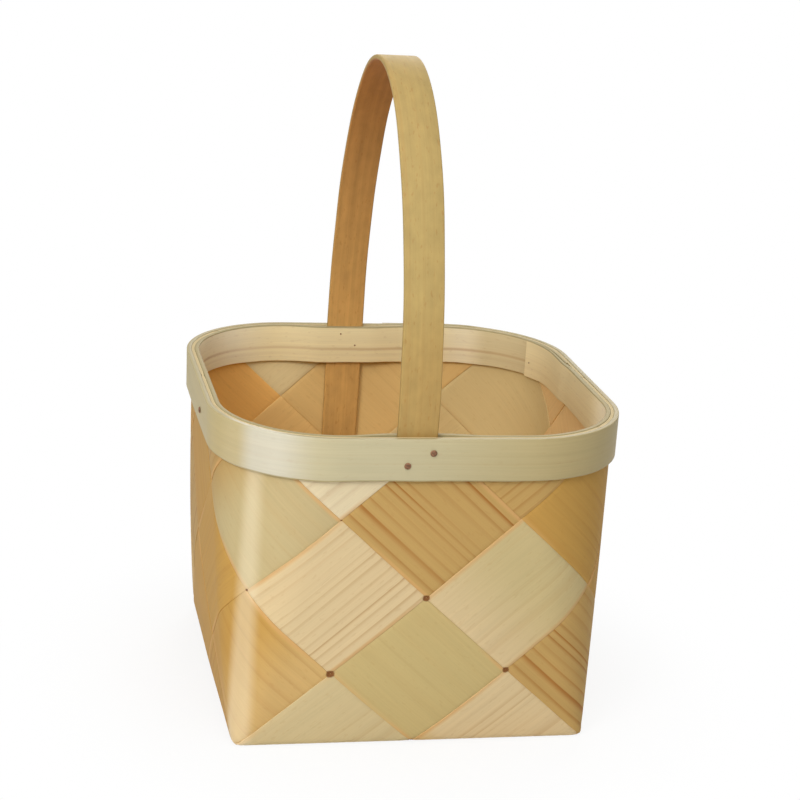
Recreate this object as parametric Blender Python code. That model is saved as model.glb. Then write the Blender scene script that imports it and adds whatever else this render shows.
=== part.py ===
"""Berry basket plaited from wide wood chip strips, with two rim hoops and a bent strap handle.

Metres, +Z up. The origin is the middle of the base, on the surface that the basket stands on.
The front of the basket faces -Y, and the handle spans from front to back.
Eight strips lie flat in the base, four each way. Past the base edge each one folds up and climbs
the walls at 45 degrees, over and under the strips that it meets, to the rim, where all the ends
are held between an outer and an inner hoop by nails.
"""
import math

import bmesh
import bpy
from mathutils import Matrix, Vector

MM = 0.001

# Clearances
SEAT_GAP = 0.3 * MM
LAYER_GAP = 0.3 * MM
CUT_OVERRUN = 2 * MM

# Plaited strips
STRIPS_EACH_WAY = 4
STRIP_PITCH = 60 * MM
STRIP_THICKNESS = 0.8 * MM
STRIP_SLIT = 2.6 * MM
QUADS_PER_CROSSING = 4

# Walls
RIM_HEIGHT = 158 * MM
RIM_CORNER_RADIUS = 55 * MM
WALL_BELLY = 3 * MM
BELLY_PEAK_SHARE = 4 / 27
CORNER_GROWTH_SHARE = 0.6
WEAVE_RISE_SHARE = 0.92

# Rim hoops
OUTER_HOOP_HEIGHT = 20.5 * MM
OUTER_HOOP_THICKNESS = 2.0 * MM
INNER_HOOP_HEIGHT = 19.8 * MM
INNER_HOOP_THICKNESS = 1.8 * MM
HOOP_EDGE_CHAMFER = 0.4 * MM
HOOP_LAP = 46 * MM
HOOP_LAP_RAMP = 9 * MM
HOOP_SCARF_SHARE = 0.3
LAP_STEPS = 3
OUTER_LAP_TURN_SHARE = 0.414
INNER_LAP_TURN_SHARE = 0.288
HANDLE_BULGE_RUN = 24 * MM
HANDLE_BULGE_SIDE = 1.5 * MM
BULGE_STEPS = 3

# Handle
HANDLE_WIDTH = 19 * MM
HANDLE_THICKNESS = 2.6 * MM
HANDLE_EDGE_CHAMFER = 0.6 * MM
HANDLE_TOP = 316 * MM
HANDLE_FOOT_HEIGHT = 62 * MM
HANDLE_OFFSET = -9.5 * MM
ARCH_LEG_SHARE = 0.5
ARCH_CROWN_SHARE = 0.6
LEG_STEPS = 6
ARCH_STEPS = 16

# Nails
NAIL_SHANK_RADIUS = 0.75 * MM
NAIL_HEAD_RADIUS = 1.6 * MM
NAIL_HEAD_HEIGHT = 0.7 * MM
NAIL_POINT = 1.2 * MM
NAIL_PROUD = 0.5 * MM
NAIL_SIDES = 8
NAIL_DOME_SHARES = ((0.0, 1.0), (0.6, 0.92), (1.0, 0.45))

# Handle nails: place across the strap's width and down the hoop, as shares of each
FRONT_NAIL_SHARES = {"upper": (0.36, 0.32), "lower": (-0.25, 0.62)}
BACK_NAIL_SHARES = {"upper": (-0.14, 0.20), "lower": (0.28, 0.50)}
# Hoop nails: place round the rim and down the hoop, as shares of each
HOOP_NAIL_SHARES = {
    "left": (0.778, 0.58),
    "right": (0.351, 0.58),
    "back_upper": (0.454, 0.34),
    "back_lower": (0.4405, 0.62),
}

# Values that follow from the sizes above
DIAGONAL = STRIP_PITCH * math.sqrt(2)
HALF_SIDE = STRIPS_EACH_WAY / 4
SIDE = 2 * HALF_SIDE
ROUND = 4 * SIDE
RISE = DIAGONAL * WEAVE_RISE_SHARE
LAYER_OFFSET = (STRIP_THICKNESS + LAYER_GAP) / 2
FABRIC_HALF = LAYER_OFFSET + STRIP_THICKNESS / 2
BASE_LEVEL = FABRIC_HALF
RIM_CLIMB = (RIM_HEIGHT - BASE_LEVEL) / RISE
TURN_STEP = 1 / (2 * QUADS_PER_CROSSING)
SLIT_SHARE = STRIP_SLIT / STRIP_PITCH / 2
SEAT = FABRIC_HALF + SEAT_GAP
HANDLE_STEP_IN = HANDLE_THICKNESS + SEAT_GAP
SHARP_ANGLE = math.radians(32)
TINY = 1e-6


def wood(name, colour, roughness):
    """A plain wood or metal finish."""
    material = bpy.data.materials.new(name)
    material.use_nodes = True
    shader = material.node_tree.nodes["Principled BSDF"]
    shader.inputs["Base Color"].default_value = (*colour, 1)
    shader.inputs["Roughness"].default_value = roughness
    return material


def add_object(name, mesh, material, parent, place=None):
    """One named sub-part under the basket's empty, shaded smooth but for its edges."""
    mesh.materials.append(material)
    mesh.shade_smooth()
    mesh.set_sharp_from_angle(angle=SHARP_ANGLE)
    part = bpy.data.objects.new(name, mesh)
    bpy.context.scene.collection.objects.link(part)
    part.parent = parent
    if place is not None:
        part.matrix_world = place
    return part


def climb_at(height):
    """How far up the wall, in diagonals from the base edge, a height lies."""
    return (height - BASE_LEVEL) / RISE


def wall_point(turn, climb):
    """A point of the wall's middle surface.

    turn runs round the wall in diagonals from the middle of the front, climb runs up it.
    Each level is a square with rounded corners whose length round stays the same, so the wall
    widens as the corners open: half width = half side + (1 - pi/4) * corner radius.
    """
    side = math.floor((turn + HALF_SIDE) / SIDE)
    local = turn - side * SIDE
    share = max(climb, 0) / RIM_CLIMB
    radius = RIM_CORNER_RADIUS * share ** CORNER_GROWTH_SHARE
    out = HALF_SIDE * DIAGONAL + (1 - math.pi / 4) * radius
    flat = out - radius
    along = abs(local) * DIAGONAL
    if along > flat and radius > 0:
        angle = (along - flat) / radius
        along = flat + radius * math.sin(angle)
        out = flat + radius * math.cos(angle)
    belly = share * (1 - share) ** 2 / BELLY_PEAK_SHARE * math.cos(math.pi * local / SIDE) ** 2
    out += WALL_BELLY * belly
    point = Vector((math.copysign(along, local), -out, BASE_LEVEL + climb * RISE))
    return Matrix.Rotation(side * math.pi / 2, 3, "Z") @ point


def wall_normal(turn, climb, step=TURN_STEP / 5):
    """Outward normal of the wall, from the points a step to each side and above and below."""
    low = max(climb - step, 0)
    across = wall_point(turn + step, climb) - wall_point(turn - step, climb)
    up = wall_point(turn, climb + step) - wall_point(turn, low)
    return across.cross(up).normalized()


def mitred_normal(turn, climb):
    """The wall's normal, lengthened on a corner line so that both flats keep their offset."""
    local = turn - math.floor((turn + HALF_SIDE) / SIDE) * SIDE
    if HALF_SIDE - abs(local) > TINY:
        return wall_normal(turn, climb)
    ahead = wall_normal(turn + TURN_STEP / 2, climb, TURN_STEP / 2)
    behind = wall_normal(turn - TURN_STEP / 2, climb, TURN_STEP / 2)
    middle = (ahead + behind).normalized()
    return middle / middle.dot(ahead)


def strip_place(way, lane, along, across):
    """Where a point of a strip would lie if the walls were laid out flat round the base.

    way is 1 for strips that run to the back right and -1 for those that run to the front right.
    """
    shift = (lane + across) / 2
    if way > 0:
        return along - shift, along + shift
    return along + shift, shift - along


def strip_sides(way, lane):
    """The two base edges that a strip crosses: 0 front, 1 right, 2 back, 3 left."""
    if way > 0:
        return (3, 2) if lane > 0 else (0, 1)
    return (2, 1) if lane > 0 else (3, 0)


def strip_sample(x, y, side):
    """Middle point, offset direction and climb of a strip point that leaves by the given side."""
    turned = Matrix.Rotation(-side * math.pi / 2, 2) @ Vector((x, y))
    climb = -turned.y - HALF_SIDE
    turn = side * SIDE + turned.x
    down = Vector((0, 0, -1))
    if climb < -TINY:
        return Vector((x * DIAGONAL, y * DIAGONAL, BASE_LEVEL)), down, climb
    if climb < TINY:
        outward = Matrix.Rotation(side * math.pi / 2, 3, "Z") @ Vector((0, -1, 0))
        return wall_point(turn, 0), outward + down, 0
    return wall_point(turn, climb), mitred_normal(turn, climb), climb


def strip_rows(lane, index):
    """Rows along a strip: place along it, weave sign, and whether the row's crossing is folded."""
    fold = round(SIDE - abs(lane) + 0.5)
    above = math.ceil(2 * RIM_CLIMB + TINY)
    inner = [step / QUADS_PER_CROSSING for step in range(1, QUADS_PER_CROSSING)]
    rows = []
    for crossing in range(-fold - above, fold + above):
        folded = crossing in (-fold, fold - 1)
        on_base = -fold < crossing < fold - 1
        shares = [SLIT_SHARE, *([] if on_base else inner), 1 - SLIT_SHARE]
        sign = 1 if (crossing + index) % 2 == 0 else -1
        rows += [((crossing + share) / 2, sign, folded) for share in shares]
    return rows


def strip_mesh(name, way, index):
    """One strip: a grid of points on the middle surface, set over or under by the weave's sign.

    The cells of the folded crossings are split along the base edge, and those of the walls
    upwards, so that crossing strips share the same facets and keep their gap.
    """
    lane = index - (STRIPS_EACH_WAY - 1) / 2
    low_side, high_side = strip_sides(way, lane)
    inner = [step / QUADS_PER_CROSSING for step in range(1, QUADS_PER_CROSSING)]
    across = [share - 0.5 for share in (SLIT_SHARE, *inner, 1 - SLIT_SHARE)]
    rows = strip_rows(lane, index)
    bm = bmesh.new()
    grid = []
    for along, sign, _ in rows:
        side = low_side if along < 0 else high_side
        line = []
        for offset in across:
            x, y = strip_place(way, lane, along, offset)
            point, normal, climb = strip_sample(x, y, side)
            faces = [
                bm.verts.new(point + normal * (sign * LAYER_OFFSET + half * STRIP_THICKNESS))
                for half in (0.5, -0.5)
            ]
            line.append((faces, climb))
        grid.append(line)
    for row in range(len(grid) - 1):
        folded = rows[row][2] and rows[row + 1][2]
        for column in range(len(across) - 1):
            corners = (grid[row][column], grid[row + 1][column],
                       grid[row + 1][column + 1], grid[row][column + 1])
            climbs = [corner[1] for corner in corners]
            level = abs(climbs[0] - climbs[2]) < abs(climbs[1] - climbs[3])
            start = 0 if level == folded else 1
            for layer in (0, 1):
                quad = [corners[(start + turn) % 4][0][layer] for turn in range(4)]
                for triangle in (quad[:3], (quad[2], quad[3], quad[0])):
                    bm.faces.new(triangle)
        for edge in (0, -1):
            this, after = grid[row][edge][0], grid[row + 1][edge][0]
            bm.faces.new((this[0], this[1], after[1], after[0]))
    for row in (0, -1):
        for column in range(len(across) - 1):
            this, after = grid[row][column][0], grid[row][column + 1][0]
            bm.faces.new((this[0], this[1], after[1], after[0]))
    bmesh.ops.recalc_face_normals(bm, faces=bm.faces)
    trim_to_rim(bm)
    mesh = bpy.data.meshes.new(name)
    bm.to_mesh(mesh)
    bm.free()
    return mesh


def trim_to_rim(bm):
    """Cuts the strip ends level just under the top of the hoops and closes the cut."""
    geometry = [*bm.verts, *bm.edges, *bm.faces]
    top = Vector((0, 0, RIM_HEIGHT - SEAT_GAP))
    bmesh.ops.bisect_plane(bm, geom=geometry, plane_co=top, plane_no=(0, 0, 1), clear_outer=True)
    rims = [edge for edge in bm.edges if edge.is_boundary]
    caps = bmesh.ops.holes_fill(bm, edges=rims)["faces"]
    bmesh.ops.triangulate(bm, faces=caps)


def handle_nearness(turn):
    """How far the inner hoop steps in round a handle leg: 1 over the leg, easing to 0."""
    gaps = [abs((turn - place + ROUND / 2) % ROUND - ROUND / 2) for place in handle_turns()]
    clear = HANDLE_WIDTH / 2 + HANDLE_BULGE_SIDE
    share = (min(gaps) * DIAGONAL - clear) / HANDLE_BULGE_RUN
    share = min(max(share, 0), 1)
    return (1 + math.cos(math.pi * share)) / 2


def handle_turns():
    """The turns at the middle of the front leg and of the back leg."""
    shift = HANDLE_OFFSET / DIAGONAL
    return shift, ROUND / 2 - shift


def hoop_layer(turn, start, thickness):
    """A hoop's near and far face beyond its seat, where its scarfed ends lap over each other."""
    lap = HOOP_LAP / DIAGONAL
    ramp = HOOP_LAP_RAMP / DIAGONAL
    run = turn - start
    feather = HOOP_SCARF_SHARE * thickness
    if run < lap:
        return 0, feather + (thickness - feather) * run / lap
    if run < ROUND - ramp:
        return 0, thickness
    if run < ROUND:
        near = (feather + SEAT_GAP) * (run - ROUND + ramp) / ramp
        return near, near + thickness
    share = (run - ROUND) / lap
    near = feather + (thickness - feather) * share + SEAT_GAP
    return near, near + thickness - (thickness - feather) * share


def hoop_reach(turn, start, thickness):
    """The farthest face of a hoop at a turn, over both layers of its lap."""
    run = (turn - start) % ROUND
    single = hoop_layer(start + run, start, thickness)[1]
    if run * DIAGONAL > HOOP_LAP:
        return single
    return max(single, hoop_layer(start + run + ROUND, start, thickness)[1])


def hoop_stations(start):
    """The turns at which a hoop is drawn: the weave's own lines, the lap and the handle's bulge."""
    lap = HOOP_LAP / DIAGONAL
    ramp = HOOP_LAP_RAMP / DIAGONAL
    end = start + ROUND + lap
    wanted = [start, start + ROUND - ramp, start + ROUND, end]
    wanted += [start + lap * step / LAP_STEPS for step in range(1, LAP_STEPS + 1)]
    wanted += [start + ROUND + lap * step / LAP_STEPS for step in range(1, LAP_STEPS)]
    clear = (HANDLE_WIDTH / 2 + HANDLE_BULGE_SIDE) / DIAGONAL
    run = HANDLE_BULGE_RUN / DIAGONAL
    for middle in handle_turns():
        for step in range(BULGE_STEPS + 1):
            away = clear + run * step / BULGE_STEPS
            wanted += [middle - away, middle + away, middle - away + ROUND, middle + away + ROUND]
    wanted = [turn for turn in wanted if start <= turn <= end]
    first = math.ceil(start / TURN_STEP)
    last = math.floor(end / TURN_STEP)
    for line in range(first, last + 1):
        turn = line * TURN_STEP
        if all(abs(turn - other) > TURN_STEP / 4 for other in wanted):
            wanted.append(turn)
    wanted.sort()
    return [turn for turn, after in zip(wanted, wanted[1:] + [end + 1]) if after - turn > TINY]


def chamfered_section(width, height, chamfer):
    """Corner points of a bar's section, as shares that run from its near low corner."""
    return [
        (chamfer, 0), (width - chamfer, 0), (width, chamfer), (width, height - chamfer),
        (width - chamfer, height), (chamfer, height), (0, height - chamfer), (0, chamfer),
    ]


def swept_mesh(name, rings):
    """A closed bar through a list of rings of points, with flat ends."""
    bm = bmesh.new()
    loops = [[bm.verts.new(point) for point in ring] for ring in rings]
    count = len(rings[0])
    for loop, after in zip(loops, loops[1:]):
        for corner in range(count):
            follow = (corner + 1) % count
            bm.faces.new((loop[corner], loop[follow], after[follow], after[corner]))
    bm.faces.new(loops[0])
    bm.faces.new(loops[-1])
    bmesh.ops.recalc_face_normals(bm, faces=bm.faces)
    mesh = bpy.data.meshes.new(name)
    bm.to_mesh(mesh)
    bm.free()
    return mesh


def hoop_mesh(name, start, direction, thickness, height):
    """A flat band bent round the rim, its feathered ends lapped.

    direction is 1 for the hoop outside the wall and -1 for the one inside, which also steps
    in round the two handle legs. The band leans with the wall that it holds.
    """
    low = RIM_HEIGHT - height
    rings = []
    for turn in hoop_stations(start):
        bottom = wall_point(turn, climb_at(low))
        top = wall_point(turn, RIM_CLIMB)
        normal = wall_normal(turn, RIM_CLIMB)
        normal = Vector((normal.x, normal.y, 0)).normalized()
        near, far = hoop_layer(turn, start, thickness)
        seat = SEAT
        if direction < 0:
            seat += HANDLE_STEP_IN * handle_nearness(turn)
        chamfer = min(HOOP_EDGE_CHAMFER, (far - near) / 4)
        ring = []
        for depth, rise in chamfered_section(far - near, height, chamfer):
            middle = bottom.lerp(top, rise / height)
            ring.append(middle + normal * direction * (seat + near + depth))
        rings.append(ring)
    return swept_mesh(name, rings)


def leg_reach(height):
    """Distance of the middle of a handle leg from the basket's middle plane at a height."""
    wall = wall_point(HANDLE_OFFSET / DIAGONAL, climb_at(height))
    return -wall.y - SEAT - HANDLE_THICKNESS / 2


def arch_half():
    """Reach and height along half of the handle, from the foot to the crown.

    The leg lies against the wall up to the rim, then a cubic curve leaves in line with the leg
    and meets the crown level.
    """
    span = RIM_HEIGHT - HANDLE_FOOT_HEIGHT
    points = []
    for step in range(LEG_STEPS):
        height = HANDLE_FOOT_HEIGHT + span * step / LEG_STEPS
        points.append(Vector((leg_reach(height), height)))
    start = Vector((leg_reach(RIM_HEIGHT), RIM_HEIGHT))
    below = Vector((leg_reach(RIM_HEIGHT - INNER_HOOP_HEIGHT), RIM_HEIGHT - INNER_HOOP_HEIGHT))
    crown = Vector((0, HANDLE_TOP - HANDLE_THICKNESS / 2))
    rise = crown.y - start.y
    leave = start + (start - below) * (ARCH_LEG_SHARE * rise / INNER_HOOP_HEIGHT)
    arrive = crown + Vector((ARCH_CROWN_SHARE * start.x, 0))
    for step in range(ARCH_STEPS + 1):
        t = step / ARCH_STEPS
        s = 1 - t
        point = start * s ** 3 + leave * (3 * s * s * t) + arrive * (3 * s * t * t) + crown * t ** 3
        points.append(point)
    return points


def handle_mesh(name):
    """One strap bent over from the front wall to the back wall."""
    half = arch_half()
    path = [Vector((HANDLE_OFFSET, -point.x, point.y)) for point in half]
    path += [Vector((HANDLE_OFFSET, point.x, point.y)) for point in reversed(half[:-1])]
    rings = []
    for step, point in enumerate(path):
        before = path[max(step - 1, 0)]
        after = path[min(step + 1, len(path) - 1)]
        tangent = (after - before).normalized()
        sideways = Vector((1, 0, 0))
        outward = sideways.cross(tangent)
        ring = []
        for depth, width in chamfered_section(HANDLE_THICKNESS, HANDLE_WIDTH, HANDLE_EDGE_CHAMFER):
            shift = sideways * (width - HANDLE_WIDTH / 2) + outward * (depth - HANDLE_THICKNESS / 2)
            ring.append(point + shift)
        rings.append(ring)
    return swept_mesh(name, rings)


def nail_place(turn, height):
    """A frame on the wall whose Z axis points out of the basket, square to the wall."""
    climb = climb_at(height)
    outward = wall_normal(turn, climb)
    rotation = outward.to_track_quat("Z", "Y").to_matrix().to_4x4()
    return Matrix.Translation(wall_point(turn, climb)) @ rotation


def turned_mesh(name, profile, sides):
    """A solid turned about Z from a profile of radius and height, first and last on the axis."""
    bm = bmesh.new()
    rings = []
    for radius, height in profile:
        if radius == 0:
            rings.append([bm.verts.new((0, 0, height))])
            continue
        angles = [2 * math.pi * step / sides for step in range(sides)]
        points = [(radius * math.cos(angle), radius * math.sin(angle), height) for angle in angles]
        rings.append([bm.verts.new(point) for point in points])
    for ring, after in zip(rings, rings[1:]):
        for step in range(sides):
            follow = (step + 1) % sides
            corners = [ring[step % len(ring)], ring[follow % len(ring)],
                       after[follow % len(after)], after[step % len(after)]]
            bm.faces.new(list(dict.fromkeys(corners)))
    bmesh.ops.recalc_face_normals(bm, faces=bm.faces)
    mesh = bpy.data.meshes.new(name)
    bm.to_mesh(mesh)
    bm.free()
    return mesh


def nail_depths(turn, outer_start, inner_start):
    """Where a nail's head sits outside the outer hoop, and where its point ends inside."""
    head = SEAT + hoop_reach(turn, outer_start, OUTER_HOOP_THICKNESS) + SEAT_GAP
    inside = SEAT + hoop_reach(turn, inner_start, INNER_HOOP_THICKNESS)
    inside += HANDLE_STEP_IN * handle_nearness(turn)
    return head, -inside - NAIL_PROUD


def nail_mesh(name, head, tip):
    """A small nail: domed head, round shank and a short point."""
    dome = [(share * NAIL_HEAD_RADIUS, head + rise * NAIL_HEAD_HEIGHT) for share, rise in NAIL_DOME_SHARES]
    shank = [(NAIL_HEAD_RADIUS, head), (NAIL_SHANK_RADIUS, head),
             (NAIL_SHANK_RADIUS, tip + NAIL_POINT), (0, tip)]
    return turned_mesh(name, dome + shank, NAIL_SIDES)


def nail_places():
    """Name, turn and height of every nail."""
    places = []
    front, back = handle_turns()
    for name, (across, down) in FRONT_NAIL_SHARES.items():
        turn = front + across * HANDLE_WIDTH / DIAGONAL
        places.append((f"handle_nail_front_{name}", turn, RIM_HEIGHT - down * OUTER_HOOP_HEIGHT))
    for name, (across, down) in BACK_NAIL_SHARES.items():
        turn = back - across * HANDLE_WIDTH / DIAGONAL
        places.append((f"handle_nail_back_{name}", turn, RIM_HEIGHT - down * OUTER_HOOP_HEIGHT))
    for name, (round_share, down) in HOOP_NAIL_SHARES.items():
        height = RIM_HEIGHT - down * OUTER_HOOP_HEIGHT
        places.append((f"hoop_nail_{name}", round_share * ROUND, height))
    return places


def add_nails(material, parent, outer_start, inner_start):
    """All the nails, and one hidden cutter that holds their holes."""
    holes = bmesh.new()
    for name, turn, height in nail_places():
        place = nail_place(turn, height)
        head, tip = nail_depths(turn, outer_start, inner_start)
        add_object(name, nail_mesh(name, head, tip), material, parent, place)
        radius = NAIL_SHANK_RADIUS + SEAT_GAP
        top = head + CUT_OVERRUN
        bottom = tip - CUT_OVERRUN
        profile = [(0, top), (radius, top), (radius, bottom), (0, bottom)]
        hole = turned_mesh("hole", profile, NAIL_SIDES)
        hole.transform(place)
        holes.from_mesh(hole)
        bpy.data.meshes.remove(hole)
    mesh = bpy.data.meshes.new("nail_holes")
    holes.to_mesh(mesh)
    holes.free()
    cutter = bpy.data.objects.new("nail_holes", mesh)
    bpy.context.scene.collection.objects.link(cutter)
    cutter.hide_render = True
    cutter.display_type = "WIRE"
    return cutter


def drill(part, cutter):
    """Cuts the nail holes through a piece."""
    cut = part.modifiers.new("nail_holes", "BOOLEAN")
    cut.operation = "DIFFERENCE"
    cut.solver = "EXACT"
    cut.object = cutter


def build():
    """Models the whole basket."""
    for old in list(bpy.data.objects):
        bpy.data.objects.remove(old)
    basket = bpy.data.objects.new("berry_basket", None)
    bpy.context.scene.collection.objects.link(basket)
    golden = wood("golden_chip", (0.55, 0.36, 0.14), 0.6)
    cream = wood("cream_chip", (0.65, 0.48, 0.27), 0.6)
    pale = wood("pale_hoop_wood", (0.58, 0.50, 0.30), 0.5)
    straw = wood("handle_wood", (0.54, 0.38, 0.15), 0.5)
    steel = wood("brown_nail_steel", (0.10, 0.05, 0.03), 0.55)

    outer_start = OUTER_LAP_TURN_SHARE * ROUND
    inner_start = INNER_LAP_TURN_SHARE * ROUND
    cutter = add_nails(steel, basket, outer_start, inner_start)
    wooden = []
    for way, family, material in ((1, "right_leaning", golden), (-1, "left_leaning", cream)):
        for index in range(STRIPS_EACH_WAY):
            name = f"strip_{family}_{index + 1}"
            wooden.append(add_object(name, strip_mesh(name, way, index), material, basket))
    outer = hoop_mesh("outer_hoop", outer_start, 1, OUTER_HOOP_THICKNESS, OUTER_HOOP_HEIGHT)
    wooden.append(add_object("outer_hoop", outer, pale, basket))
    inner = hoop_mesh("inner_hoop", inner_start, -1, INNER_HOOP_THICKNESS, INNER_HOOP_HEIGHT)
    wooden.append(add_object("inner_hoop", inner, pale, basket))
    wooden.append(add_object("handle", handle_mesh("handle"), straw, basket))
    for part in wooden:
        drill(part, cutter)


build()
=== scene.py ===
"""Berry basket plaited from wide wood chip, with two rim hoops, a bent strap handle and nails.

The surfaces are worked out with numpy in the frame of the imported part: metres, +Z up, the front
faces -Y, and the origin is the middle of the base on the surface that the basket stands on.
"""
import math

import bpy
import numpy as np
from mathutils import Matrix, Vector


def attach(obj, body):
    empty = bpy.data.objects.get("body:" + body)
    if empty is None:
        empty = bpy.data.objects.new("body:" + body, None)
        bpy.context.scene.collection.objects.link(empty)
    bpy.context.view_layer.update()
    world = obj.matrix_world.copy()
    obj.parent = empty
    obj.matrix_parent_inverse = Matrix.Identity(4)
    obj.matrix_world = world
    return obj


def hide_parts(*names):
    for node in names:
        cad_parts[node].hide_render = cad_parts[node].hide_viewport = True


bl_info = {
    "name": "Berry Basket",
    "version": (1, 0, 0),
    "blender": (4, 5, 0),
    "location": "View3D > Sidebar > Basket",
    "description": "Plaited chip basket with rim hoops, handle and nails",
    "category": "Object",
}

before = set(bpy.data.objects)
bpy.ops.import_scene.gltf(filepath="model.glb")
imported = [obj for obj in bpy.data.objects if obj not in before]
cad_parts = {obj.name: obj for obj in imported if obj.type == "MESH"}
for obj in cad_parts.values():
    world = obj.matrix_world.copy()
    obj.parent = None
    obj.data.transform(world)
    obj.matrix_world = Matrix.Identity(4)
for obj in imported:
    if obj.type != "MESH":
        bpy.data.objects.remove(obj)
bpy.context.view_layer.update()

MM = 0.001

# Gaps and chip of the solids, which give the seat of the hoops beyond the middle of the wall
SEAT_GAP = 0.3 * MM
LAYER_GAP = 0.3 * MM
SOLID_CHIP = 0.8 * MM
SEAT = LAYER_GAP / 2 + SOLID_CHIP + SEAT_GAP

# How the shown strips lie, and how far hoops and strap are pressed towards them
LAYER_OFFSET = 0.36 * MM
BASE_LEVEL = 0.7 * MM
HOOP_PRESS = 0.5 * MM
STRAP_PRESS = 0.3 * MM

# The wall: diagonals of a weave square in one round, how the corners' radius grows, and the
# highest value of share * (1 - share) squared
ROUND = 8
RADIUS_POWER = 0.6
BELLY_PEAK = 4 / 27

# Edges: how far they wander, how far they draw back at a hole as a share of its radius, and over
# which share of that radius
STRIP_WANDER = 0.12 * MM
BAR_WANDER = 0.25 * MM
HOLE_NICK_SHARE = 0.12
HOLE_NICK_REACH = 1.2

# Columns of a strip, as shares of its half width: how far the inner ones reach, the last three at
# each edge, and how thick the strip is there. How often its rows are softened for the folds
INNER_SPREAD = 0.98
EDGE_SPREAD = np.array((0.992, 0.998, 1.0))
EDGE_THICKNESS = np.array((1.0, 0.8, 0.3))
FOLD_SOFTENINGS = 4

# Two faces that meet at a greater angle than this have a sharp edge
SHARP_ANGLE = math.radians(50)

# Hoops: starts of their laps, thickness of a feathered end, and how they step in round a leg
OUTER_START = 0.414 * ROUND
INNER_START = 0.288 * ROUND
FEATHER_SHARE = 0.3
LEG_CLEARANCE = 1.5 * MM
LEG_EASE = 24 * MM

# Shares of the rise and of the reach that shape the handle's arch
ARCH_LEG_SHARE = 0.5
ARCH_CROWN_SHARE = 0.6

# In the wood's (u, v): shift of v on the inner faces. Height from which the chip's ends are pale
INNER_SHIFT = 0.2
RIM_PALE = 156 * MM


def srgb(red, green, blue):
    """Linear colour of an 8-bit display colour."""
    values = np.array((red, green, blue)) / 255
    linear = np.where(values <= 0.04045, values / 12.92, ((values + 0.055) / 1.055) ** 2.4)
    return tuple(float(value) for value in linear)


PALE_END = srgb(214, 194, 148)


def length(name, description, default):
    """A length property in metres."""
    return bpy.props.FloatProperty(
        name=name, description=description, default=default, min=0, unit="LENGTH", precision=5
    )


def angle(name, description, degrees):
    """An angle property."""
    return bpy.props.FloatProperty(
        name=name, description=description, default=math.radians(degrees), subtype="ANGLE"
    )


def colour(name, description, default):
    """A colour property."""
    return bpy.props.FloatVectorProperty(
        name=name, description=description, default=default, size=3, min=0, max=1, subtype="COLOR"
    )


class WeaveSettings(bpy.types.PropertyGroup):
    """Sizes and colours of the plaited strips."""

    pitch: length("Strip pitch", "Width of one strip and the slit beside it", 60 * MM)
    thickness: length("Chip thickness", "Thickness of a strip", 0.65 * MM)
    slit: length("Slit", "Gap between neighbouring strips", 0.15 * MM)
    rim_height: length("Rim height", "Height of the rim over the floor", 158 * MM)
    rim_radius: length("Rim corner radius", "Radius of the wall's corners at the rim", 55 * MM)
    base_radius: length("Base corner radius", "Radius of the wall's corners at the base", 1.5 * MM)
    belly: length("Belly", "How far the walls swell in the middle", 3 * MM)
    rise: bpy.props.FloatProperty(
        name="Weave rise", description="Height of a weave square over its width", default=0.92
    )
    dip: length("Dip", "How fast a strip settles beside the one that it passes under", 0.9 * MM)
    soft_khaki: colour("Soft khaki chip", "Khaki by the rubbed corner", srgb(193, 177, 133))
    khaki: colour("Khaki chip", "Smooth greenish strips", srgb(198, 178, 124))
    golden: colour("Golden chip", "Strips with strong grain", srgb(190, 156, 96))
    honey: colour("Honey chip", "Warm strips with soft grain", srgb(206, 173, 114))
    pink: colour("Pinkish chip", "Pale strips with rosy streaks", srgb(216, 194, 152))
    amber: colour("Amber chip", "Dark golden stretches", srgb(191, 150, 79))
    pale: colour("Pale chip", "The palest stretches", srgb(222, 208, 174))
    cream: colour("Cream chip", "Pale strips", srgb(200, 182, 134))
    soft_cream: colour("Soft cream chip", "Cream strips near the base", srgb(206, 188, 145))
    # Inner faces: painted light, lighter and warmer than the outer faces for bounce light inside
    inside: colour("Inner faces", "Warm inner side of every strip", srgb(227, 193, 129))
    inside_pale: colour("Pale inner faces", "Palest inner side", srgb(229, 211, 162))
    inside_soft: colour("Soft inner faces", "Yellowish inner side", srgb(215, 194, 141))
    inside_warm: colour("Warm inner faces", "Orange inner side", srgb(242, 191, 112))
    inside_bright: colour("Bright inner faces", "Inner side to the right", srgb(243, 209, 151))
    inside_light: colour("Light inner faces", "Slightly paler inner side", srgb(238, 201, 133))
    # Painted highlight: the paler colour of the chip at its front left corner
    wear_and_painted_highlight: colour("Painted highlight chip", "Chip where the corner is rubbed", srgb(238, 224, 188))
    # Painted shade: the dark spot round each small hole in the weave
    hole: colour("Hole", "Dark rim of a small hole in the weave", srgb(130, 86, 50))
    browning_and_painted_shade: colour("Browned edge", "Yellowed edges of the strips", srgb(208, 164, 108))
    late_wood: colour("Late wood", "Dark lines of the grain", srgb(162, 106, 50))

    @property
    def diagonal(self):
        """From corner to corner of a weave square."""
        return self.pitch * math.sqrt(2)


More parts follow.
